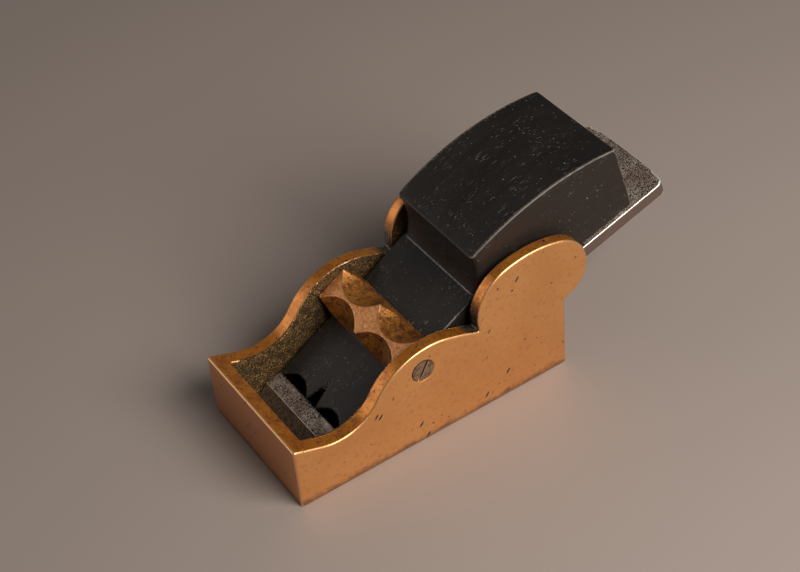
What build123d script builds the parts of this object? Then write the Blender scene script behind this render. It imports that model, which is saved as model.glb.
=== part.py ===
"""Small chariot plane: a gunmetal casting that carries a bevel-up iron under a bridge and an ebony wedge.

Millimetres. The origin is the middle of the sole, X runs from toe (-) to heel (+) and Z is up.
Profiles are drawn in the side view, where x is the distance behind the toe and y the height above the sole.
"""

from build123d import *
from math import atan2, cos, degrees, radians, tan
import os

os.makedirs("parts", exist_ok=True)

# ---- Driving dimensions ----
sole_length = 70.0
body_width = 36.0

# Casting: toe, side walls and ears
toe_height = 16.7
hollow_front = (7.35, 13.96)  # the wall's top edge falls from the toe into a hollow
hollow_low = (15.45, 14.08)
ogee_join = (21.0, 18.65)     # where the hollow turns into the crest over the bridge
crest_rear = (39.5, 25.53)
notch = (47.4, 22.6)          # where the crest meets the ear
ear_front = (48.9, 31.5)
ear_rise = (54.5, 35.9)
ear_top = (61.5, 37.1)
ear_fall = (68.5, 36.2)
ear_back = (74.6, 32.0)
ear_rear = (76.3, 26.5)
ear_under = (74.6, 21.8)
heel_height = 19.0
toe_top_round = 0.5
heel_corner_round = 1.0       # where the ear runs into the heel
edge_round = 0.4              # worn edges along the tops of the walls
toe_corner_round = 0.4
floor_wall = 4.2              # side wall thickness at the sole
wall_draft = 0.042            # the walls thin upwards by this slope
toe_wall_top = 3.45
toe_wall_sole = 5.3           # the toe wall thickens down to the mouth
throat_below = -1.0           # the throat is cut from under the sole, over the ears and out past the heel
throat_above = 40.0
throat_rear = 95.0

# Iron
pitch = 17.15                 # bed angle
iron_width = 27.2
iron_length = 101.2
iron_thickness = 3.4
bevel_length = 6.14
iron_edge = (6.2, 0.06)       # cutting edge, just inside the mouth
iron_corner = 2.0
iron_bow = 0.9                # the rear end is bowed

# Bed
bed_gap = 0.1
bed_nose = 0.5                # blunt front of the bed, behind the mouth

# Wedge
wedge_width = 25.4            # on the iron
wedge_flare = 0.051           # each side leans out by this slope, square to the iron
wedge_gap = 0.1
wedge_slope = 30.8
wedge_tip = 14.7              # distance behind the toe
tip_thickness = 0.8
head_front = 49.6             # foot of the head
head_brow = (49.1, 39.1)      # front upper edge of the head
cove_depth = 1.2
crown_middle = (68.3, 47.2)
crown_rear = (87.3, 48.7)
head_foot = 92.8              # where the rear face reaches the iron
head_round = 0.3
head_corner = 1.2             # rounding up the two front corners of the head
gouge_reach = 12.0            # half the length of a gouge's cut
cuts_centre = 0.5             # the cuts in the tip sit a little to one side
cut_depth = 0.45              # of the gouged and grooved cuts, at the tip
scallop_length = 2.9
scallop_spacing = 13.2
scallop_radius = 26.0
groove_length = 8.0
groove_cutter = (4.2, 0.95)   # half width and height of the V groove's cutter

# Bridge and its screws
pivot = (32.6, 20.2)
bridge_front = -4.2           # along the wedge's slope, from the pivot
bridge_rear = 3.9
bridge_under = -1.85          # square to the slope, from the pivot
bridge_top = 3.6
bridge_side_gap = 0.15
scoop_radius = 10.3
bridge_front_splay = 1.25     # the front and rear faces spread towards the wedge
bridge_rear_splay = 1.4
front_scoop_depth = 3.5
rear_scoop_depth = 4.0
scoop_pitch = 14.3
head_radius = 2.8
shank_radius = 1.5
countersink_angle = 90.0
running_gap = 0.08
screw_length = 9.5
slot_width = 0.5
slot_depth = 0.8
slot_angle = 60.0

# ---- Derived places and helpers ----
half_width = body_width / 2
toe_side = Plane(origin=(-sole_length / 2, 0, 0), x_dir=(1, 0, 0), z_dir=(0, -1, 0))


def direction(angle):
    """Unit vector in the side view, turned up from +X by an angle in degrees."""
    return Vector(1, 0, 0).rotate(Axis.Y, -angle)


def at(place):
    """Point on the centre plane from its side-view place."""
    return toe_side.from_local_coords(place)


def above_bed(distance, height):
    """Height over the sole of the line that lies a given height square above the iron's underside."""
    edge_x, edge_z = iron_edge
    return edge_z + (distance - edge_x) * tan(radians(pitch)) + height / cos(radians(pitch))


def throat(gap, mode):
    """The space between the side walls, from the mouth to past the heel, narrowed by a gap on each side."""
    toe_draft = (toe_wall_sole - toe_wall_top) / toe_height
    sections = []
    for z in (throat_below, throat_above):
        front = toe_wall_sole - toe_draft * z + gap
        half = half_width - floor_wall + wall_draft * z - gap
        with BuildSketch(Plane.XY.offset(z)) as section:
            with Locations(((front + throat_rear - sole_length) / 2, 0)):
                Rectangle(throat_rear - front, 2 * half)
        sections.append(section.sketch)
    loft(sections=sections, mode=mode)


def gouge_pair(origin, angle, radius, side, spacing):
    """Two round gouges, whose deepest lines start at a point and run at an angle in the side view."""
    with BuildSketch(Plane(origin, x_dir=(0, 1, 0), z_dir=direction(angle))) as rounds:
        with Locations((-spacing / 2, side * radius), (spacing / 2, side * radius)):
            Circle(radius)
    extrude(rounds.sketch, amount=gouge_reach, both=True, mode=Mode.SUBTRACT)


# ---- Casting: sole, toe, side walls with ears, and the solid bed ----
with BuildPart() as body:
    with BuildSketch(toe_side) as outline:
        with BuildLine():
            Line((0, 0), (0, toe_height))
            hollow = ThreePointArc(hollow_front, hollow_low, ogee_join)
            TangentArc(hollow_front, (0, toe_height), tangent=-(hollow % 0))
            crest = TangentArc(ogee_join, crest_rear, tangent=hollow % 1)
            TangentArc(crest_rear, notch, tangent=crest % 1)
            ThreePointArc(notch, ear_front, ear_rise)
            ThreePointArc(ear_rise, ear_top, ear_fall)
            ThreePointArc(ear_fall, ear_back, ear_rear)
            ThreePointArc(ear_rear, ear_under, (sole_length, heel_height))
            Line((sole_length, heel_height), (sole_length, 0))
            Line((sole_length, 0), (0, 0))
        make_face()
        fillet(outline.vertices().sort_by_distance((0, toe_height))[0], toe_top_round)
        fillet(outline.vertices().sort_by_distance((sole_length, heel_height))[0], heel_corner_round)
    extrude(amount=half_width, both=True)
    wall_tops = body.faces().filter_by(Axis.Y).edges().filter_by(GeomType.CIRCLE)
    fillet(wall_tops, edge_round)
    with BuildSketch(Plane.XY) as plan:
        with Locations((sole_length / 2, 0)):
            Rectangle(2 * sole_length, body_width)
        fillet(plan.vertices().group_by(Axis.X)[0], toe_corner_round)
    extrude(amount=sole_length, mode=Mode.INTERSECT)
    throat(0.0, Mode.SUBTRACT)
    with BuildSketch(toe_side):
        nose_x = iron_edge[0] + (bed_nose + bed_gap - iron_edge[1]) / tan(radians(pitch))
        with BuildLine():
            Polyline(
                (nose_x, 0),
                (nose_x, above_bed(nose_x, -bed_gap)),
                (sole_length, above_bed(sole_length, -bed_gap)),
                (sole_length, 0),
                close=True,
            )
        make_face()
    extrude(amount=half_width - floor_wall / 2, both=True)
    for side in (-1, 1):
        with Locations(Plane(at(pivot) + Vector(0, side * half_width, 0), z_dir=(0, side, 0))):
            CounterSinkHole(
                radius=shank_radius + running_gap,
                counter_sink_radius=head_radius + running_gap,
                depth=floor_wall,
                counter_sink_angle=countersink_angle,
            )
body.part.label = "body_casting"
export_step(body.part, "parts/body_casting.step")

# ---- Iron: single bevel-up blade, lying on the bed ----
iron_side = Plane(at(iron_edge), x_dir=direction(pitch), z_dir=(0, -1, 0))
iron_plan = Plane(at(iron_edge), x_dir=direction(pitch), z_dir=direction(pitch + 90))
with BuildPart() as iron:
    with BuildSketch(iron_plan):
        right_side = iron_width / 2
        with BuildLine():
            Polyline(
                (iron_length - iron_bow, -right_side),
                (0, -right_side),
                (0, right_side),
                (iron_length - iron_bow, right_side),
            )
            ThreePointArc(
                (iron_length - iron_bow, right_side),
                (iron_length, 0),
                (iron_length - iron_bow, -right_side),
            )
        make_face()
    extrude(amount=iron_thickness)
    square_edges = iron.edges().filter_by(Axis(at(iron_edge), direction(pitch + 90)))
    fillet(square_edges.group_by(Axis.X)[-1], iron_corner)
    with BuildSketch(iron_side):
        with BuildLine():
            Polyline((0, 0), (bevel_length, iron_thickness), (0, iron_thickness), close=True)
        make_face()
    extrude(amount=iron_width, both=True, mode=Mode.SUBTRACT)
iron.part.label = "iron"
export_step(iron.part, "parts/iron.step")

# ---- Wedge: tapered flat under the bridge and a rounded head for the palm ----
wedge_under = iron_thickness + wedge_gap
tip_low = (wedge_tip, above_bed(wedge_tip, wedge_under))
tip_high = (wedge_tip, tip_low[1] + tip_thickness)
foot = (head_front, tip_high[1] + (head_front - wedge_tip) * tan(radians(wedge_slope)))
cove_middle = ((foot[0] + head_brow[0]) / 2 + cove_depth, (foot[1] + head_brow[1]) / 2)
with BuildPart() as wedge:
    with BuildSketch(toe_side):
        with BuildLine():
            Polyline(tip_low, tip_high, foot)
            ThreePointArc(foot, cove_middle, head_brow)
            ThreePointArc(head_brow, crown_middle, crown_rear)
            Polyline(crown_rear, (head_foot, above_bed(head_foot, wedge_under)), tip_low)
        make_face()
    extrude(amount=half_width, both=True)
    with BuildSketch(Plane(at(iron_edge), x_dir=(0, 1, 0), z_dir=direction(pitch))):
        half_under = wedge_width / 2
        half_over = half_under + wedge_flare * body_width
        with BuildLine():
            Polyline(
                (-half_under, wedge_under),
                (half_under, wedge_under),
                (half_over, wedge_under + body_width),
                (-half_over, wedge_under + body_width),
                close=True,
            )
        make_face()
    extrude(amount=2 * sole_length, both=True, mode=Mode.INTERSECT)
    head_corners = wedge.edges().filter_by(GeomType.ELLIPSE).group_by(Axis.X)[0]
    fillet(head_corners, head_corner)
    fillet(wedge.edges().filter_by(lambda edge: edge.center().Z > head_brow[1] - head_round), head_round)
    tip_middle = at(tip_high) + Vector(0, cuts_centre, 0)
    scallop_angle = wedge_slope + degrees(atan2(cut_depth, scallop_length))
    scallop_end = tip_middle + direction(wedge_slope) * scallop_length
    gouge_pair(scallop_end, scallop_angle, scallop_radius, 1, scallop_spacing)
    groove_angle = wedge_slope + degrees(atan2(cut_depth, groove_length))
    groove_end = tip_middle + direction(wedge_slope) * groove_length
    with BuildSketch(Plane(groove_end, x_dir=(0, 1, 0), z_dir=direction(groove_angle))):
        groove_half, groove_height = groove_cutter
        with BuildLine():
            Polyline((0, 0), (groove_half, groove_height), (-groove_half, groove_height), close=True)
        make_face()
    extrude(amount=gouge_reach, both=True, mode=Mode.SUBTRACT)
wedge.part.label = "wedge"
export_step(wedge.part, "parts/wedge.step")

# ---- Bridge: scooped bar across the throat, turned by the two screws it pivots on ----
bridge_side = Plane(at(pivot), x_dir=direction(wedge_slope), z_dir=(0, -1, 0))
bridge_height = bridge_top - bridge_under
with BuildPart() as bridge:
    with BuildSketch(bridge_side):
        with BuildLine():
            Polyline(
                (bridge_front, bridge_top),
                (bridge_rear, bridge_top),
                (bridge_rear + bridge_rear_splay, bridge_under),
                (bridge_front - bridge_front_splay, bridge_under),
                close=True,
            )
        make_face()
    extrude(amount=half_width, both=True)
    throat(bridge_side_gap, Mode.INTERSECT)
    front_start = bridge_side.from_local_coords((bridge_front + front_scoop_depth, bridge_top))
    front_angle = degrees(atan2(bridge_height, front_scoop_depth + bridge_front_splay))
    gouge_pair(front_start, wedge_slope + front_angle, scoop_radius, 1, scoop_pitch)
    rear_start = bridge_side.from_local_coords((bridge_rear - rear_scoop_depth, bridge_top))
    rear_angle = degrees(atan2(bridge_height, rear_scoop_depth + bridge_rear_splay))
    gouge_pair(rear_start, wedge_slope + 180 - rear_angle, scoop_radius, -1, scoop_pitch)
    for side in (-1, 1):
        with Locations(Plane(at(pivot) + Vector(0, side * half_width, 0), z_dir=(0, side, 0))):
            Hole(shank_radius, depth=screw_length)
bridge.part.label = "bridge"
export_step(bridge.part, "parts/bridge.step")


# ---- Bridge screws: slotted, countersunk, flush with the walls ----
def bridge_screw(side, name):
    """One screw, with its head's face in the wall's outer face."""
    face = Plane(at(pivot) + Vector(0, side * half_width, 0), x_dir=(1, 0, 0), z_dir=(0, side, 0))
    head_depth = head_radius - shank_radius
    with BuildPart(face) as screw:
        Cone(shank_radius, head_radius, head_depth, align=(Align.CENTER, Align.CENTER, Align.MAX))
        Cylinder(shank_radius, screw_length, align=(Align.CENTER, Align.CENTER, Align.MAX))
        with Locations(Rotation(0, 0, -side * slot_angle)):
            Box(3 * head_radius, slot_width, 2 * slot_depth, mode=Mode.SUBTRACT)
    screw.part.label = name
    export_step(screw.part, f"parts/{name}.step")


bridge_screw(-1, "bridge_screw_left")
bridge_screw(1, "bridge_screw_right")
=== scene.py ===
"""Looks of the small chariot plane: worn gunmetal, a pitted bridge, an ebony wedge and an old steel iron.

Metres, in the CAD frame: X runs from the toe (-) to the heel (+) and Z is up from the sole.
"""

import math

import bmesh
import bpy
import numpy as np
from mathutils import Matrix, Vector, noise
from mathutils.bvhtree import BVHTree


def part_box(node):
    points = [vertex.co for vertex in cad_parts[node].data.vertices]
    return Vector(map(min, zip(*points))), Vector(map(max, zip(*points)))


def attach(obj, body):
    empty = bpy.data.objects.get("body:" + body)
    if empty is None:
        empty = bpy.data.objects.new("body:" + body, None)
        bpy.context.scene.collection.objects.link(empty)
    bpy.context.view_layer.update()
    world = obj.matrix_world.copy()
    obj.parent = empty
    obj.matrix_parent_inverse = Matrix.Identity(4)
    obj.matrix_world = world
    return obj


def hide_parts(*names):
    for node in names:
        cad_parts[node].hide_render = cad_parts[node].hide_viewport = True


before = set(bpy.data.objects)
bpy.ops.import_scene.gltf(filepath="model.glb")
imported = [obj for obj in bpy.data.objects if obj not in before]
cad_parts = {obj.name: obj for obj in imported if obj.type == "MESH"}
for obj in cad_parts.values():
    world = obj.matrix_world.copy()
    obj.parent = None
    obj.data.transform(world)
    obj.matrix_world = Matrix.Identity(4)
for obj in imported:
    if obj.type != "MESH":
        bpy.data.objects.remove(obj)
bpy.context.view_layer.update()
MM = 0.001
WELD = 0.001 * MM

# How the edges wear
EDGE_BLUR = 10                  # rounds of smoothing from which edges and corners stand out
EDGE_CONTRAST = 2.0             # how strongly they are painted
MEAN_WEAR = 0.75
LEAST_WEAR = 0.25
WEAR_SPREAD = 0.6
WEAR_WAVES = 260                # a metre
SEED_STEPS = (7.3, 3.1, 5.7)    # keeps the noise of different seeds apart

# Where the masks lie on the pieces
WEDGE_SLOPE = 30.8              # degrees: the wedge's flat and the bridge
BED_PITCH = 17.15               # degrees: the iron
SIDE_WALL = 3.0 * MM            # about the thickness of a side wall at its top
TOE_WALL = 6.0 * MM             # the toe wall is all within this of the toe
TOE_FACE = 0.5 * MM             # and its front face within this
TOE_SHARE = 0.2                 # the back of the toe wall is in this share of the casting's length
SOLE_LAYER = 0.2 * MM           # the casting is smooth this near the sole
NOTCH = (12.4 * MM, 22.6 * MM)  # x and z where the wall meets the ear, and grime gathers
GRIME_LENGTH = 5.0 * MM
GRIME_HEIGHT = 9.0 * MM
FOOT_STAIN_AND_SHADOW = 3.5 * MM           # how far up the outside the darkening along the sole reaches: stains, and a painted contact shadow
TIP_LENGTH = 7.5 * MM           # the end of the wedge that holds its cuts
TIP_MARGIN = 0.6 * MM           # uncut strip along each side of it
CUT_DEPTH = 0.07 * MM           # what lies deeper than this under the flat is cut
GROOVE_START = 3.6 * MM         # from here back, only the groove is cut
GROOVE_HALF = 2.5 * MM          # the groove lies within this of the middle
RUB_WIDTH = 1.6 * MM            # rubbed strip along the edges of the wedge's crown
HEAD_SHARE = 0.45               # the head starts behind this share of the wedge's length
PALM_RISE = 1.35                # the palm's darker polish grows along the wedge,
PALM_START = 0.2                # from a little way behind its tip,
PALM_SPREAD = 0.3               # unevenly
PALM_WAVES = 70
RING_WIDTH = 0.22 * MM          # dark ring round a screw head

# How squarely a face has to point in its direction to be chosen: the cosine of the angle between them
WALL_FACING = 0.93              # the walls' insides, and not the rims of their tops
TOE_BACK_FACING = 0.9
BED_FACING = 0.5
OUTSIDE_FACING = 0.6
TOE_FRONT_FACING = 0.7
TOP_FACING = 0.1                # what else of the outside points up is a worn top
BRIDGE_FLAT_FACING = 0.985      # the flat between the scoops
TIP_FACING = 0.3                # the upper side of the wedge's tip, with its cuts
WEDGE_FLAT_FACING = 0.999       # and without them
CROWN_FACING = 0.5
WEDGE_SIDE_FACING = 0.7
BEVEL_FACING = (0.3, 0.94)      # the bevel leans between these
IRON_SIDE_FACING = 0.7
BEVEL_SIDE_FACING = 0.5

# Waves a metre and height of the relief that is added to the meshes
COARSE_SKIN_WAVES = 1300
FINE_SKIN_WAVES = 2700
FINE_SKIN_SHARE = 0.7
CASTING_WAVES = 150
BRIDGE_WAVES = 1400
WEDGE_WAVES = 90
IRON_WAVES = 1900
SKIN_RELIEF = 0.09 * MM
CASTING_RELIEF = 0.03 * MM
BRIDGE_RELIEF = 0.025 * MM
WEDGE_RELIEF = 0.04 * MM
IRON_RELIEF = 0.02 * MM

# Depth of the bumps that stay in the materials
SKIN_BUMP = 0.30 * MM
PIT_BUMP = 0.07 * MM
BRIDGE_BUMP = 0.05 * MM
IRON_BUMP = 0.04 * MM
SCREW_BUMP = 0.03 * MM
PORE_BUMP = 0.02 * MM
FLOOR_BUMP = 0.01 * MM

# Stage
FLOOR_REACH = 4.0                               # from the origin to each side
FLOOR_TONES = ((0.285, 0.240, 0.215), (0.305, 0.258, 0.232))
FRONT_LIGHT = (0.25, -0.70, 0.66)               # direction from the origin
BACK_LIGHT = (-0.74, 0.64, 0.26)
WARM_WHITE = (1.0, 0.94, 0.88)
PALE_WHITE = (1.0, 0.94, 0.92)
SKY_COLOUR = (0.62, 0.58, 0.55, 1.0)
SKY_STRENGTH = 0.17
CAMERA_ANGLES = (-30.22, 42.31, -5.83)          # degrees: azimuth, elevation, roll
CAMERA_TARGET = (0.00168, -0.00497, 0.03266)
CAMERA_DISTANCE = 0.3738
CAMERA_LENS = 80.2
CAMERA_SENSOR = 36.0
CAMERA_NEAR = 0.01


# ---- Meshes: each CAD node is remade as a fine mesh whose edges are worn ----
def linked(name, data):
    thing = bpy.data.objects.new(name, data)
    bpy.context.scene.collection.objects.link(thing)
    return thing


def welded_copy(node):
    """The CAD node's mesh with its face corners joined."""
    grid = bmesh.new()
    grid.from_mesh(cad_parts[node].data)
    bmesh.ops.remove_doubles(grid, verts=grid.verts, dist=WELD)
    mesh = bpy.data.meshes.new(node)
    grid.to_mesh(mesh)
    grid.free()
    return mesh


def fine_piece(name, node, voxel):
    """A new object of the CAD node's shape, as an even mesh of small faces that lie on the CAD surface."""
    rough = linked(name + "_rough", welded_copy(node))
    remesh = rough.modifiers.new("even", "REMESH")
    remesh.mode = "VOXEL"
    remesh.voxel_size = voxel
    remesh.adaptivity = 0.0
    bpy.context.view_layer.update()
    evaluated = rough.evaluated_get(bpy.context.evaluated_depsgraph_get())
    mesh = bpy.data.meshes.new_from_object(evaluated)
    exact = BVHTree.FromPolygons(
        [v.co for v in rough.data.vertices], [p.vertices for p in rough.data.polygons]
    )
    for vertex in mesh.vertices:
        vertex.co = exact.find_nearest(vertex.co)[0]
    bpy.data.objects.remove(rough)
    mesh.materials.clear()
    return linked(name, mesh)


class Surface:
    """The points of a mesh as arrays, to be worn, roughened and written back."""

    def __init__(self, mesh):
        self.mesh = mesh
        self.count = len(mesh.vertices)
        self.points = self.read("vertices", "co", 3)
        self.edges = self.read("edges", "vertices", 2, np.int32)
        self.valence = np.bincount(self.edges.ravel(), minlength=self.count)[:, None]

    def read(self, domain, field, width, kind=np.float32):
        data = getattr(self.mesh, domain)
        values = np.empty(len(data) * width, kind)
        data.foreach_get(field, values)
        return values.reshape(-1, width)

    def normals(self):
        self.write()
        return self.read("vertex_normals", "vector", 3)

    def neighbour_mean(self, values):
        a, b = self.edges.T
        total = np.empty_like(values)
        for axis in range(values.shape[1]):
            total[:, axis] = np.bincount(a, values[b, axis], self.count)
            total[:, axis] += np.bincount(b, values[a, axis], self.count)
        return total / self.valence

    def blurred(self, values, rounds):
        for _ in range(rounds):
            values = 0.5 * values + 0.5 * self.neighbour_mean(values)
        return values

    def write(self):
        self.mesh.vertices.foreach_set("co", self.points.ravel())
        self.mesh.update()

    def raise_by(self, height):
        """Moves each point along its normal."""
        self.points += self.normals() * height[:, None]
        self.write()

    def paint(self, name, values):
        """Keeps a value from 0 to 1 at each point, for the material to read."""
        layer = self.mesh.attributes.new(name, "FLOAT", "POINT")
        layer.data.foreach_set("value", np.clip(values, 0, 1).astype(np.float32).ravel())

    def mask(self, chosen, rounds=2):
        """A yes/no choice of points as soft values from 0 to 1."""
        return self.blurred(chosen.astype(np.float32)[:, None], rounds).ravel()

    def field(self, scale, seed):
        """Smooth noise from -1 to 1 at each point, at so many waves a metre."""
        shift = Vector([seed * step for step in SEED_STEPS])
        return np.array([noise.noise(Vector(p) * scale + shift) for p in self.points.tolist()])


def wear(surface, voxel, rounding):
    """Wears the edges unevenly, and paints where they stand out and where corners hold grime."""
    sharp = surface.points.copy()
    normals = surface.normals()
    shifted = (sharp - surface.blurred(sharp, EDGE_BLUR)) / voxel
    out = np.sum(shifted * normals, axis=1, keepdims=True)
    out = surface.blurred(out, 1) * EDGE_CONTRAST
    amount = np.clip(MEAN_WEAR + WEAR_SPREAD * surface.field(WEAR_WAVES, seed=4), LEAST_WEAR, 1)
    surface.points += (surface.blurred(sharp, rounding) - sharp) * amount[:, None]
    surface.paint("edge", out)
    surface.paint("corner", -out)


def worn_piece(name, node, voxel, rounding):
    """The CAD node's fine piece with worn edges, and its surface."""
    piece = fine_piece(name, node, voxel)
    surface = Surface(piece.data)
    wear(surface, voxel, rounding)
    return piece, surface


def along_normal(vectors, slope):
    """The part of each vector that is square to a plane climbing by so many degrees to the heel."""
    angle = math.radians(slope)
    return vectors @ np.array([-math.sin(angle), 0.0, math.cos(angle)])


# ---- Materials: scales are in waves a metre, and amounts run from 0 to 1 ----
class Graph:
    """A material's node tree, written from the coordinates towards the shader."""

    def __init__(self, name):
        self.material = bpy.data.materials.new(name)
        self.material.use_nodes = True
        self.nodes = self.material.node_tree.nodes
        self.links = self.material.node_tree.links
        self.shader = self.nodes["Principled BSDF"]
        self.place = self.nodes.new("ShaderNodeTexCoord").outputs["Object"]

    def fill(self, socket, value):
        if isinstance(value, bpy.types.NodeSocket):
            self.links.new(value, socket)
        elif isinstance(value, tuple) and socket.type == "RGBA":
            socket.default_value = (*value, 1.0)
        else:
            socket.default_value = value

    def painted(self, name):
        node = self.nodes.new("ShaderNodeAttribute")
        node.attribute_name = name
        return node.outputs["Fac"]

    def stretched(self, turn, scale):
        """The coordinates, turned about Y by so many degrees and drawn out."""
        node = self.nodes.new("ShaderNodeMapping")
        node.vector_type = "TEXTURE"
        self.fill(node.inputs["Vector"], self.place)
        node.inputs["Rotation"].default_value = (0.0, math.radians(turn), 0.0)
        node.inputs["Scale"].default_value = scale
        return node.outputs["Vector"]

    def noise(self, scale, detail=2.0, rough=0.5, at=None):
        """Noise from 0 to 1; detail is how many finer layers it has, and rough how strong they are."""
        node = self.nodes.new("ShaderNodeTexNoise")
        self.fill(node.inputs["Vector"], at or self.place)
        node.inputs["Scale"].default_value = scale
        node.inputs["Detail"].default_value = detail
        node.inputs["Roughness"].default_value = rough
        return node.outputs["Fac"]

    def cells(self, scale, at):
        """The distance to the nearest of scattered points."""
        node = self.nodes.new("ShaderNodeTexVoronoi")
        self.fill(node.inputs["Vector"], at)
        node.inputs["Scale"].default_value = scale
        return node.outputs["Distance"]

    def wobbled(self, scale, distance):
        """The coordinates, pushed about by noise so that what is drawn with them turns ragged."""
        node = self.nodes.new("ShaderNodeTexNoise")
        self.fill(node.inputs["Vector"], self.place)
        node.inputs["Scale"].default_value = scale
        push = self.nodes.new("ShaderNodeVectorMath")
        push.operation = "MULTIPLY_ADD"
        self.fill(push.inputs[0], node.outputs["Color"])
        push.inputs[1].default_value = (distance, distance, distance)
        self.fill(push.inputs[2], self.place)
        return push.outputs["Vector"]

    def varnish(self, weight):
        """A thin glossy film that reflects white over the metal's own colour."""
        self.fill(self.shader.inputs["Coat Weight"], weight)
        self.shader.inputs["Coat Roughness"].default_value = 0.32
        self.shader.inputs["Coat IOR"].default_value = 1.9

    def band(self, value, low, high):
        """0 below low, 1 above high, smooth between; low above high turns it round."""
        node = self.nodes.new("ShaderNodeMapRange")
        node.interpolation_type = "SMOOTHSTEP"
        self.fill(node.inputs["Value"], value)
        flip = low > high
        node.inputs["From Min"].default_value = high if flip else low
        node.inputs["From Max"].default_value = low if flip else high
        node.inputs["To Min"].default_value = 1.0 if flip else 0.0
        node.inputs["To Max"].default_value = 0.0 if flip else 1.0
        return node.outputs["Result"]

    def math(self, how, a, b):
        node = self.nodes.new("ShaderNodeMath")
        node.operation = how
        self.fill(node.inputs[0], a)
        self.fill(node.inputs[1], b)
        return node.outputs["Value"]

    def times(self, a, b):
        return self.math("MULTIPLY", a, b)

    def most(self, a, b):
        return self.math("MAXIMUM", a, b)

    def plus_noise(self, value, amount, *texture):
        """The value with noise added, so that its edges turn ragged."""
        return self.math("ADD", value, self.times(self.noise(*texture), amount))

    def mix(self, amount, a, b):
        """The colour a where the amount is 0, b where it is 1."""
        node = self.nodes.new("ShaderNodeMix")
        node.data_type = "RGBA"
        colours = [s for s in node.inputs if s.type == "RGBA"]
        self.fill(node.inputs["Factor"], amount)
        self.fill(colours[0], a)
        self.fill(colours[1], b)
        return next(s for s in node.outputs if s.type == "RGBA")

    def between(self, amount, a, b):
        """The number a where the amount is 0, b where it is 1."""
        node = self.nodes.new("ShaderNodeMapRange")
        self.fill(node.inputs["Value"], amount)
        self.fill(node.inputs["To Min"], a)
        self.fill(node.inputs["To Max"], b)
        return node.outputs["Result"]

    def bump(self, height, distance, normal=None):
        node = self.nodes.new("ShaderNodeBump")
        node.inputs["Distance"].default_value = distance
        self.fill(node.inputs["Height"], height)
        if normal:
            self.fill(node.inputs["Normal"], normal)
        return node.outputs["Normal"]

    def finish(self, colour, roughness, normal, metallic):
        self.fill(self.shader.inputs["Base Color"], colour)
        self.fill(self.shader.inputs["Roughness"], roughness)
        self.fill(self.shader.inputs["Normal"], normal)
        self.fill(self.shader.inputs["Metallic"], metallic)
        return self.material


def bronze_side(g):
    """Rubbed bronze, redder on the toe and in spots, darker along the sole with stains and a painted
    contact shadow.
    """
    clean, warm, spot = (0.74, 0.335, 0.090), (0.68, 0.285, 0.066), (0.62, 0.235, 0.050)
    toe, stain_and_shadow_tone = (0.62, 0.22, 0.036), (0.20, 0.062, 0.016)
    tone = g.mix(g.band(g.noise(60, 4), 0.35, 0.7), clean, warm)
    tone = g.mix(g.band(g.noise(900, 3, 0.6), 0.52, 0.72), tone, spot)
    tone = g.mix(g.painted("front"), tone, toe)
    # Along the sole: real stains, and a painted contact shadow where the casting meets the floor
    stain_and_shadow = g.plus_noise(g.painted("foot"), 1.1, 420, 4, 0.65)
    return g.mix(g.times(g.band(stain_and_shadow, 0.95, 1.45), 0.75), tone, stain_and_shadow_tone)


def bronze_top(g):
    """The worn tops of the walls: golden, mottled brown."""
    golden, brown, dark = (0.82, 0.28, 0.012), (0.58, 0.165, 0.008), (0.26, 0.09, 0.05)
    tone = g.mix(g.band(g.noise(380, 4, 0.65), 0.42, 0.66), golden, brown)
    return g.mix(g.band(g.noise(1300, 3, 0.6), 0.56, 0.68), tone, dark)


def casting_holes(g):
    """Ragged pits in patches, a few slanted dashes, and fainter slanted marks."""
    slanted = g.stretched(turn=35, scale=(0.8, 1, 2.6))
    marks = g.band(g.noise(1500, 1, 0.5, slanted), 0.725, 0.76)
    pits = g.band(g.cells(420, g.wobbled(900, 0.9 * MM)), 0.115, 0.075)
    pits = g.times(pits, g.band(g.noise(170, 2), 0.47, 0.55))
    dashes = g.band(g.cells(330, slanted), 0.125, 0.090)
    return g.most(g.most(pits, dashes), g.times(marks, 0.5))


def cast_skin(g, grain):
    """Unworked casting: dark, with golden grains, and darker in patches."""
    hollow, grain_tone, patch = (0.016, 0.009, 0.003), (0.66, 0.38, 0.12), (0.030, 0.018, 0.007)
    tone = g.mix(g.band(grain, 0.50, 0.66), hollow, grain_tone)
    patches = g.times(g.band(g.noise(500, 3), 0.42, 0.68), 0.75)
    return g.mix(patches, tone, patch)


def gunmetal():
    """Rubbed bronze outside with small dark casting pits; golden tops; dark granular skin inside."""
    hole, edge_wear_and_highlight, dirt = (0.035, 0.014, 0.007), (0.86, 0.48, 0.20), (0.06, 0.035, 0.018)
    damp, dusty = (0.055, 0.036, 0.012), (0.42, 0.37, 0.28)
    g = Graph("gunmetal")
    holes = casting_holes(g)
    tone = g.mix(g.painted("top"), bronze_side(g), bronze_top(g))
    tone = g.mix(holes, tone, hole)
    # Edges painted paler: partly rubbed metal, partly a painted highlight
    tone = g.mix(g.band(g.painted("edge"), 0.5, 1.0), tone, edge_wear_and_highlight)
    tone = g.mix(g.band(g.painted("corner"), 0.18, 0.6), tone, dirt)
    grime = g.mix(g.band(g.noise(2600, 3, 0.7), 0.50, 0.62), damp, dusty)
    tone = g.mix(g.band(g.painted("grime"), 0.10, 0.55), tone, grime)
    grain = g.noise(5200, 2, 0.8)
    skin = g.band(g.plus_noise(g.painted("inside"), 0.5, 1500, 2), 0.85, 1.05)
    tone = g.mix(skin, tone, cast_skin(g, grain))
    roughness = g.between(skin, g.between(g.noise(900, 3), 0.30, 0.46), 0.6)
    smooth = g.bump(g.plus_noise(g.times(holes, -1.0), 0.10, 2600, 3), PIT_BUMP)
    normal = g.bump(g.times(skin, grain), SKIN_BUMP, smooth)
    g.varnish(g.between(skin, 0.5, 0.0))
    return g.finish(tone, roughness, normal, metallic=g.between(skin, 0.85, 0.5))


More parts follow.
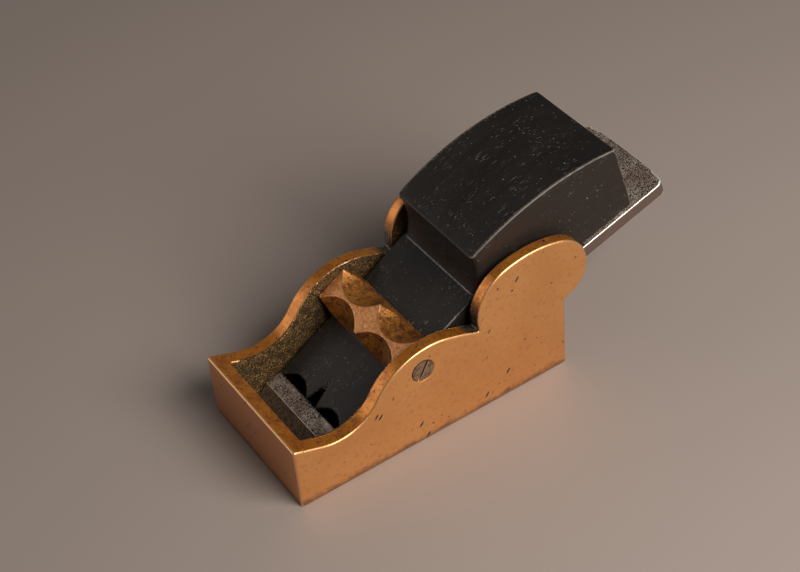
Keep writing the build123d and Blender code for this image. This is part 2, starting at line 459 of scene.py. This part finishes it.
def bridge_bronze():
    """Salmon-coloured pitted flats, browner scoops with dark red mottling."""
    golden, brown, dark_red = (0.60, 0.24, 0.035), (0.26, 0.085, 0.018), (0.055, 0.018, 0.014)
    salmon, dull_salmon, hole = (0.95, 0.43, 0.15), (0.75, 0.30, 0.09), (0.15, 0.05, 0.025)
    edge_wear_and_highlight = (0.85, 0.48, 0.20)
    g = Graph("bridge_bronze")
    scoop = g.mix(g.band(g.noise(330, 4, 0.65), 0.42, 0.62), golden, brown)
    scoop = g.mix(g.band(g.noise(1700, 3, 0.6), 0.56, 0.66), scoop, dark_red)
    flat = g.mix(g.band(g.noise(700, 3, 0.6), 0.4, 0.65), salmon, dull_salmon)
    pits = g.band(g.noise(3000, 3, 0.6), 0.56, 0.66)
    flat = g.mix(g.times(pits, 0.7), flat, hole)
    tone = g.mix(g.painted("flat"), scoop, flat)
    # Edges painted paler: partly rubbed metal, partly a painted highlight
    tone = g.mix(g.band(g.painted("edge"), 0.4, 0.9), tone, edge_wear_and_highlight)
    g.varnish(0.35)
    roughness = g.between(g.noise(900, 3), 0.32, 0.5)
    return g.finish(tone, roughness, g.bump(g.times(pits, -1.0), BRIDGE_BUMP), metallic=0.85)


def peppered_steel(g, pits):
    """Grey-brown steel with black pits in patches and finer cracks."""
    grey, brown = (0.66, 0.56, 0.48), (0.38, 0.29, 0.235)
    hole, crack = (0.035, 0.026, 0.021), (0.085, 0.055, 0.043)
    tone = g.mix(g.band(g.noise(170, 4), 0.35, 0.65), grey, brown)
    tone = g.mix(g.times(pits, g.band(g.noise(260, 2), 0.30, 0.5)), tone, hole)
    return g.mix(g.band(g.noise(1100, 4, 0.75), 0.56, 0.64), tone, crack)


def old_steel():
    """Peppered faces, a browner ground bevel with a painted highlight along its arris, plain sides, and
    painted highlights along the edges.
    """
    ground, ground_dark, arris_highlight = (0.30, 0.22, 0.155), (0.13, 0.092, 0.066), (0.92, 0.84, 0.74)
    side_grey, side_brown, edge_wear_and_highlight = (0.21, 0.16, 0.122), (0.18, 0.115, 0.098), (0.88, 0.83, 0.77)
    g = Graph("iron_steel")
    bevel, side = g.painted("bevel"), g.painted("side")
    pits = g.band(g.noise(3400, 2, 0.7), 0.46, 0.56)
    tone = peppered_steel(g, pits)
    tone = g.mix(bevel, tone, g.mix(g.band(g.noise(1500, 4, 0.7), 0.42, 0.62), ground, ground_dark))
    arris = g.times(bevel, g.math("SUBTRACT", 1.0, bevel))
    # A painted highlight along the arris between the bevel and the face
    tone = g.mix(g.band(arris, 0.08, 0.22), tone, arris_highlight)
    tone = g.mix(side, tone, g.mix(g.noise(200, 3), side_grey, side_brown))
    # Edges painted pale: a painted highlight along the iron's arrises
    tone = g.mix(g.band(g.painted("edge"), 0.55, 0.95), tone, edge_wear_and_highlight)
    dents = g.times(pits, g.between(g.most(bevel, side), -1.0, 0.0))
    roughness = g.between(g.noise(700, 3), 0.34, 0.52)
    return g.finish(tone, roughness, g.bump(dents, IRON_BUMP), metallic=0.75)


def wood_tone(g, along):
    """Near-black streaks along the wood, paler at the tip than where the palm rests, browner sides."""
    pale, pale_streak = (0.0130, 0.0104, 0.0084), (0.0200, 0.0158, 0.0124)
    deep, deep_streak = (0.0040, 0.0032, 0.0027), (0.0065, 0.0052, 0.0042)
    side_brown = (0.0100, 0.0044, 0.0016)
    streaks = g.band(g.noise(330, 4, 0.6, along), 0.4, 0.7)
    tone = g.mix(
        g.painted("palm"), g.mix(streaks, pale, pale_streak), g.mix(streaks, deep, deep_streak)
    )
    return g.mix(g.times(g.painted("dull"), 0.8), tone, side_brown)


def worn_wood(g, tone):
    """Adds loose dust, the rubbed strips, painted highlights along the edges, dusty corners, and the cuts
    painted black as shade.
    """
    speck, rubbed, edge_highlight = (0.30, 0.27, 0.23), (0.12, 0.10, 0.085), (0.20, 0.175, 0.15)
    dusty, cut_shade, crumb = (0.34, 0.30, 0.25), (0.0012, 0.0008, 0.0006), (0.42, 0.36, 0.29)
    tone = g.mix(g.times(g.band(g.noise(2300, 0), 0.82, 0.86), 0.8), tone, speck)
    rub = g.band(g.plus_noise(g.painted("rub"), 0.9, 1700, 3, 0.7), 0.98, 1.25)
    tone = g.mix(g.times(rub, 0.7), tone, rubbed)
    # Edges painted pale: a painted highlight where the rounded edges catch the light
    tone = g.mix(g.times(g.band(g.painted("edge"), 0.75, 1.0), 0.6), tone, edge_highlight)
    dust = g.band(g.plus_noise(g.painted("corner"), 0.8, 1900, 3, 0.7), 0.62, 0.92)
    tone = g.mix(g.times(dust, 0.8), tone, dusty)
    # The cuts painted near black: painted shade standing in for the dark they reflect
    tone = g.mix(g.painted("cut"), tone, cut_shade)
    crumbs = g.times(g.painted("crumbs"), g.band(g.noise(3600, 2, 0.6), 0.56, 0.62))
    return g.mix(crumbs, tone, crumb)


def ebony():
    """Near-black wood with fine pale pores along its length, rubbed strips and painted highlights along
    its edges, dusty corners, and cuts painted black as shade.
    """
    pore = (0.16, 0.14, 0.12)
    g = Graph("ebony")
    cut, dull = g.painted("cut"), g.painted("dull")
    along = g.stretched(turn=-17, scale=(11, 1, 1))
    pores = g.band(g.noise(4300, 1, 0.5, along), 0.66, 0.71)
    pores = g.times(pores, g.band(g.noise(160, 2), 0.42, 0.60))
    pores = g.times(pores, g.between(dull, 1.0, 0.35))
    tone = worn_wood(g, g.mix(g.times(pores, 0.75), wood_tone(g, along), pore))
    polish = g.between(g.noise(500, 3), 0.34, 0.48)
    roughness = g.between(g.most(cut, g.times(dull, 0.7)), polish, 0.75)
    # The cuts are painted black, a painted shade for the dark they reflect; as black metal they show no
    # pale sheen
    return g.finish(tone, roughness, g.bump(g.times(pores, -1.0), PORE_BUMP), metallic=cut)


def screw_steel():
    """Grey-brown steel, rubbed by the screwdriver, with a dark ring round the head."""
    grey, brown = (0.32, 0.22, 0.15), (0.17, 0.10, 0.06)
    rubbed, ring = (0.50, 0.36, 0.20), (0.05, 0.022, 0.014)
    g = Graph("screw_steel")
    tone = g.mix(g.band(g.noise(1300, 4, 0.6), 0.4, 0.65), grey, brown)
    tone = g.mix(g.band(g.painted("edge"), 0.3, 0.8), tone, rubbed)
    tone = g.mix(g.painted("ring"), tone, ring)
    normal = g.bump(g.noise(2200, 3), SCREW_BUMP)
    return g.finish(tone, roughness=0.42, normal=normal, metallic=0.85)


# ---- Pieces ----
def dress(piece, material, node, body):
    piece.data.materials.append(material)
    for polygon in piece.data.polygons:
        polygon.use_smooth = True
    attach(piece, body)
    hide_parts(node)


def cast_inside(surface, low, high):
    """Soft choice of the unworked faces: the walls' insides, the back of the toe wall and the bed."""
    x, y, z = surface.points.T
    normal_x, normal_y, normal_z = surface.normals().T
    between_walls = np.abs(y) < high.y - SIDE_WALL
    walls = (-np.sign(y) * normal_y > WALL_FACING) & (np.abs(y) > high.y / 2)
    near_toe = x < low.x + TOE_SHARE * (high.x - low.x)
    toe_back = between_walls & near_toe & (normal_x > TOE_BACK_FACING)
    above_sole = (x > low.x + TOE_WALL) & (np.abs(z) > SOLE_LAYER)
    bed = between_walls & above_sole & (normal_z > BED_FACING)
    return surface.mask(walls | toe_back | bed)


def paint_outside(surface, low):
    """Paints the toe's front, the worn tops, the stains and painted contact shadow along the sole, and the
    grime at the notch.
    """
    x, _, z = surface.points.T
    normal_x, normal_y, normal_z = surface.normals().T
    outer = np.abs(normal_y) > OUTSIDE_FACING
    front = (-normal_x > TOE_FRONT_FACING) & (x < low.x + TOE_FACE)
    surface.paint("front", surface.mask(front))
    surface.paint("top", surface.mask(~outer & ~front & (normal_z > TOP_FACING)))
    surface.paint("foot", 1.0 - z / FOOT_STAIN_AND_SHADOW)
    notch_x, notch_z = NOTCH
    reach = np.hypot((x - notch_x) / GRIME_LENGTH, (z - notch_z) / GRIME_HEIGHT)
    surface.paint("grime", np.where(outer, 0.0, 1.0 - reach))


def make_casting():
    piece, surface = worn_piece("casting", "body_casting", voxel=0.25 * MM, rounding=2)
    low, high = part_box("body_casting")
    inside = cast_inside(surface, low, high)
    surface.paint("inside", inside)
    paint_outside(surface, low)
    coarse = surface.field(COARSE_SKIN_WAVES, seed=1)
    fine = surface.field(FINE_SKIN_WAVES, seed=2)
    smooth = surface.field(CASTING_WAVES, seed=3)
    skin = (coarse + FINE_SKIN_SHARE * fine) * SKIN_RELIEF
    surface.raise_by(inside * skin + (1 - inside) * smooth * CASTING_RELIEF)
    dress(piece, gunmetal(), "body_casting", "casting")


def make_bridge():
    piece, surface = worn_piece("bridge_bar", "bridge", voxel=0.18 * MM, rounding=2)
    facing = along_normal(surface.normals(), WEDGE_SLOPE)
    surface.paint("flat", surface.mask(facing > BRIDGE_FLAT_FACING, 1))
    surface.raise_by(surface.field(BRIDGE_WAVES, seed=5) * BRIDGE_RELIEF)
    dress(piece, bridge_bronze(), "bridge", "bridge_unit")


def paint_cuts(surface, low, high):
    """Paints the gouged and grooved cuts in the wedge's tip, and the groove's crumbs."""
    x, y, _ = surface.points.T
    facing = along_normal(surface.normals(), WEDGE_SLOPE)
    tip = (x < low.x + TIP_LENGTH) & (np.abs(y) < high.y - TIP_MARGIN) & (facing > TIP_FACING)
    level = along_normal(surface.points, WEDGE_SLOPE)
    flat_level = np.median(level[tip & (facing > WEDGE_FLAT_FACING)])
    cut = tip & (level < flat_level - CUT_DEPTH)
    surface.paint("cut", surface.mask(cut, 1))
    groove = cut & (x > low.x + GROOVE_START) & (np.abs(y) < GROOVE_HALF)
    surface.paint("crumbs", surface.mask(groove))


def make_wedge():
    piece, surface = worn_piece("ebony_wedge", "wedge", voxel=0.28 * MM, rounding=1)
    low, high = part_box("wedge")
    x, y, _ = surface.points.T
    _, normal_y, normal_z = surface.normals().T
    along = (x - low.x) / (high.x - low.x)
    paint_cuts(surface, low, high)
    beside_edge = np.clip(1.0 - (high.y - np.abs(y)) / RUB_WIDTH, 0, 1)
    surface.paint("rub", beside_edge * (along > HEAD_SHARE) * (normal_z > CROWN_FACING))
    uneven = PALM_SPREAD * surface.field(PALM_WAVES, seed=8)
    surface.paint("palm", along * PALM_RISE - PALM_START + uneven)
    surface.paint("dull", surface.mask(np.abs(normal_y) > WEDGE_SIDE_FACING))
    surface.raise_by(surface.field(WEDGE_WAVES, seed=6) * WEDGE_RELIEF)
    dress(piece, ebony(), "wedge", "wedge")


def make_iron():
    piece, surface = worn_piece("plane_iron", "iron", voxel=0.25 * MM, rounding=1)
    normals = surface.normals()
    normal_x, normal_y, _ = normals.T
    facing = along_normal(normals, BED_PITCH)
    least, most = BEVEL_FACING
    bevel = (facing > least) & (facing < most) & (np.abs(normal_y) < BEVEL_SIDE_FACING)
    surface.paint("bevel", surface.mask(bevel, 1))
    side = (np.abs(normal_y) > IRON_SIDE_FACING) | (normal_x > IRON_SIDE_FACING)
    surface.paint("side", surface.mask(side, 1))
    surface.raise_by(surface.field(IRON_WAVES, seed=7) * IRON_RELIEF)
    dress(piece, old_steel(), "iron", "iron")


def make_screw(node, material):
    piece, surface = worn_piece(node + "_worn", node, voxel=0.11 * MM, rounding=2)
    low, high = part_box(node)
    x, _, z = surface.points.T
    from_axis = np.hypot(x - (low.x + high.x) / 2, z - (low.z + high.z) / 2)
    head_radius = (high.x - low.x) / 2
    surface.paint("ring", surface.mask(from_axis > head_radius - RING_WIDTH, 1))
    surface.write()
    dress(piece, material, node, "bridge_unit")


make_casting()
make_bridge()
make_wedge()
make_iron()
steel = screw_steel()
for screw in ("bridge_screw_left", "bridge_screw_right"):
    make_screw(screw, steel)


# ---- Stage ----
def make_floor():
    reach = FLOOR_REACH
    mesh = bpy.data.meshes.new("floor")
    corners = [(-reach, -reach, 0), (reach, -reach, 0), (reach, reach, 0), (-reach, reach, 0)]
    mesh.from_pydata(corners, [], [(0, 1, 2, 3)])
    floor = linked("floor", mesh)
    g = Graph("floor")
    tone = g.mix(g.noise(3, 2), *FLOOR_TONES)
    normal = g.bump(g.noise(1500, 3), FLOOR_BUMP)
    mesh.materials.append(g.finish(tone, roughness=0.55, normal=normal, metallic=0.0))


def area_light(name, direction, distance, size, power, colour):
    """A square light that far from the origin, turned towards it."""
    light = bpy.data.lights.new(name, "AREA")
    light.size = size
    light.energy = power
    light.color = colour
    lamp = linked(name, light)
    lamp.location = Vector(direction).normalized() * distance
    lamp.rotation_mode = "QUATERNION"
    lamp.rotation_quaternion = Vector(direction).to_track_quat("Z", "Y")


def make_lights():
    area_light("front", FRONT_LIGHT, distance=0.52, size=0.34, power=3.7, colour=WARM_WHITE)
    area_light("low_back", BACK_LIGHT, distance=0.9, size=0.70, power=1.4, colour=PALE_WHITE)
    world = bpy.data.worlds.new("studio")
    world.use_nodes = True
    sky = world.node_tree.nodes["Background"]
    sky.inputs["Color"].default_value = SKY_COLOUR
    sky.inputs["Strength"].default_value = SKY_STRENGTH
    bpy.context.scene.world = world
    bpy.context.scene.view_settings.view_transform = "Standard"


def make_camera():
    azimuth, elevation, roll = (math.radians(a) for a in CAMERA_ANGLES)
    back = Vector((
        math.sin(azimuth) * math.cos(elevation),
        -math.cos(azimuth) * math.cos(elevation),
        math.sin(elevation),
    ))
    level = Vector((0, 0, 1)).cross(back).normalized()
    up = back.cross(level)
    right = math.cos(roll) * level + math.sin(roll) * up
    axes = Matrix((right, back.cross(right), back)).transposed().to_4x4()
    data = bpy.data.cameras.new("camera")
    data.sensor_width = CAMERA_SENSOR
    data.lens = CAMERA_LENS
    data.clip_start = CAMERA_NEAR
    camera = linked("camera", data)
    camera.matrix_world = Matrix.Translation(Vector(CAMERA_TARGET) + back * CAMERA_DISTANCE) @ axes
    bpy.context.scene.camera = camera


make_floor()
make_lights()
make_camera()
